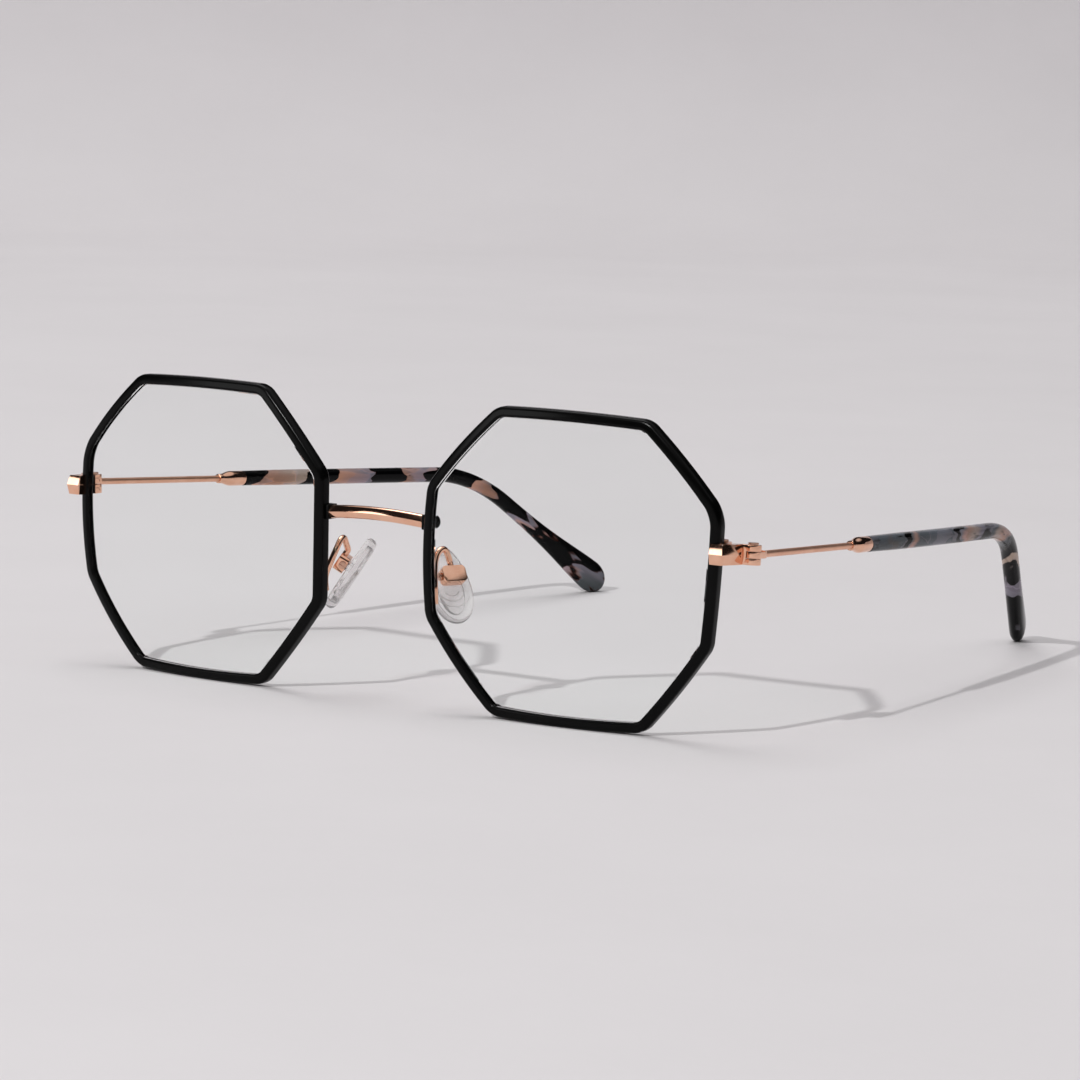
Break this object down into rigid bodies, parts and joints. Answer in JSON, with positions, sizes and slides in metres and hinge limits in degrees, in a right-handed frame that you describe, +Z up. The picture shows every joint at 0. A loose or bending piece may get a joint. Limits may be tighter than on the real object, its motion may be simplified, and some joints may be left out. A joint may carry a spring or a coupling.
{
  "type": "eyeglasses",
  "caption": "Octagonal metal eyeglasses with black eyewires, a rose gold bridge and thin folding temples, acetate tips and clear nose pads on wire arms.",
  "frame": {"origin": "bottom centre of the box round the open glasses, on the table they stand on", "axes": "+X towards the wearer's left, +Y back along the temples, +Z up"},
  "size_m": [0.139, 0.144, 0.0518],
  "materials": {
    "black_coated_metal": "satin black coat over metal",
    "rose_gold": "polished rose gold plating",
    "screw_metal": "polished plated screws",
    "lens": "clear, coated against reflections",
    "acetate": "polished mottled acetate in black, smoke grey and peach",
    "clear_silicone": "clear, soft, glossy",
    "clear_insert": "clear, hard, glossy"
  },
  "bodies": {
    "front": {"bridge": "rose_gold", "rim_left": "black_coated_metal", "rim_right": "black_coated_metal", "lens_left": "lens", "lens_right": "lens", "bridge_saddle_left": "black_coated_metal", "bridge_saddle_right": "black_coated_metal", "end_piece_left": "rose_gold", "end_piece_right": "rose_gold", "closing_block_upper_left": "rose_gold", "closing_block_upper_right": "rose_gold", "closing_block_lower_left": "rose_gold", "closing_block_lower_right": "rose_gold", "closing_screw_left": "screw_metal", "closing_screw_right": "screw_metal", "front_hinge_left": "rose_gold", "front_hinge_right": "rose_gold", "hinge_screw_left": "screw_metal", "hinge_screw_right": "screw_metal", "pad_arm_left": "rose_gold", "pad_arm_right": "rose_gold", "pad_box_left": "rose_gold", "pad_box_right": "rose_gold", "pad_screw_left": "screw_metal", "pad_screw_right": "screw_metal"},
    "temple_left": {"temple_hinge_left": "rose_gold", "temple_wire_left": "rose_gold", "ferrule_left": "rose_gold", "temple_tip_left": "acetate"},
    "temple_right": {"temple_hinge_right": "rose_gold", "temple_wire_right": "rose_gold", "ferrule_right": "rose_gold", "temple_tip_right": "acetate"},
    "pad_left": {"nose_pad_left": "clear_silicone", "pad_insert_left": "clear_insert"},
    "pad_right": {"nose_pad_right": "clear_silicone", "pad_insert_right": "clear_insert"}
  },
  "joints": [
    {"name": "temple_left_fold", "type": "hinge", "parent": "front", "child": "temple_left", "pos_m": [0.06815, -0.06119, 0.03053], "axis": [0, 0.0587, 0.9983], "range_deg": [0, 80]},
    {"name": "temple_right_fold", "type": "hinge", "parent": "front", "child": "temple_right", "pos_m": [-0.06815, -0.06119, 0.03053], "axis": [0, -0.0587, -0.9983], "range_deg": [0, 68]},
    {"name": "nose_pad_left_rock", "type": "hinge", "parent": "front", "child": "pad_left", "pos_m": [0.01115, -0.06279, 0.02178], "axis": [0.4695, 0.8829, 0.0113], "range_deg": [-8, 8]},
    {"name": "nose_pad_right_rock", "type": "hinge", "parent": "front", "child": "pad_right", "pos_m": [-0.01115, -0.06279, 0.02178], "axis": [0.4695, -0.8829, -0.0113], "range_deg": [-8, 8]}
  ]
}
